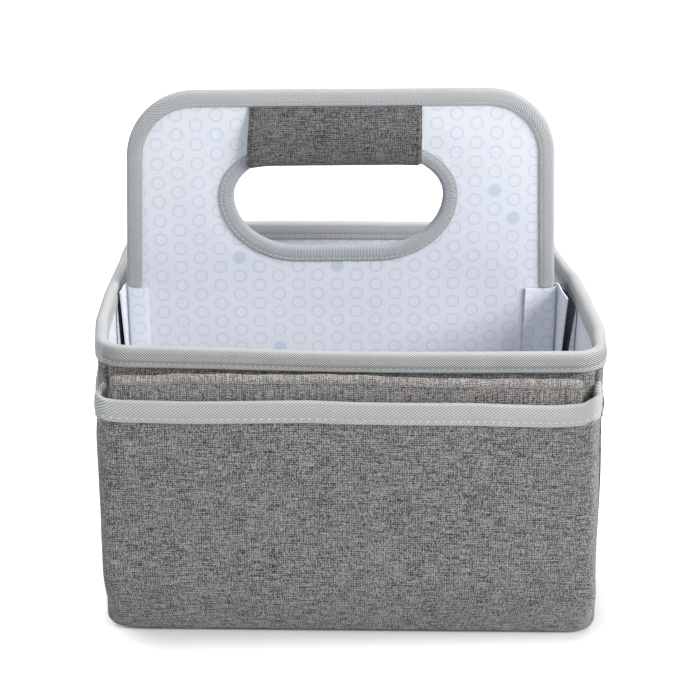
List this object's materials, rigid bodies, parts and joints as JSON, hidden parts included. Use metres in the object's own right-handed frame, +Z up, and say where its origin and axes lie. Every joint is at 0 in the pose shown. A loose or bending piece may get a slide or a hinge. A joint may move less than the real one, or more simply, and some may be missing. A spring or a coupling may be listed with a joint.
{
  "type": "diaper caddy",
  "caption": "Soft-sided box with a tall padded divider, a grip over an oval handle hole, outside pockets and a folded change pad.",
  "frame": {"origin": "on the flat bottom face that the caddy rests on, straight below the middle of the divider's plane", "axes": "+Z up, +X to the right along the divider seen from the front pocket, +Y from the front pocket to the back"},
  "size_m": [0.3294, 0.2532, 0.3185],
  "materials": {
    "outer_cloth": "heathered grey woven cloth with short slubs that run across",
    "lining_print": "pale blue plain weave with a small repeating print",
    "binding_tape": "light grey twill tape, top stitched in cream thread",
    "grip_cloth": "darker grey slubbed cloth, stitched at both ends",
    "pad_cloth": "heathered grey cloth with slubs that run up, bound at the top edge",
    "grip_foam": "off-white soft foam",
    "stiffener_board": "plain smooth stiffener board, all of it covered by cloth"
  },
  "bodies": {
    "caddy": {"outer_front_panel": "outer_cloth", "front_board": "stiffener_board", "lining_front_panel": "lining_print", "outer_right_panel": "outer_cloth", "right_board": "stiffener_board", "lining_right_panel": "lining_print", "outer_back_panel": "outer_cloth", "back_board": "stiffener_board", "lining_back_panel": "lining_print", "outer_left_panel": "outer_cloth", "left_board": "stiffener_board", "lining_left_panel": "lining_print", "base_cloth": "outer_cloth", "base_board": "stiffener_board", "base_lining": "lining_print", "rim_binding": "binding_tape", "divider_board": "stiffener_board", "divider_front_lining": "lining_print", "divider_back_lining": "lining_print", "divider_edge_binding": "binding_tape", "handle_hole_binding": "binding_tape", "grip_foam": "grip_foam", "grip_sleeve": "grip_cloth", "left_divider_tab": "lining_print", "right_divider_tab": "lining_print", "front_pocket_panel": "outer_cloth", "front_pocket_binding": "binding_tape", "left_pocket_panel": "outer_cloth", "left_pocket_binding": "binding_tape", "right_pocket_panel": "outer_cloth", "right_pocket_binding": "binding_tape"},
    "pad": {"change_pad": "pad_cloth"}
  },
  "joints": [
    {"name": "pad_slide", "type": "slide", "parent": "caddy", "child": "pad", "axis": [0, 0, 1], "range_m": [0, 0.14]}
  ]
}
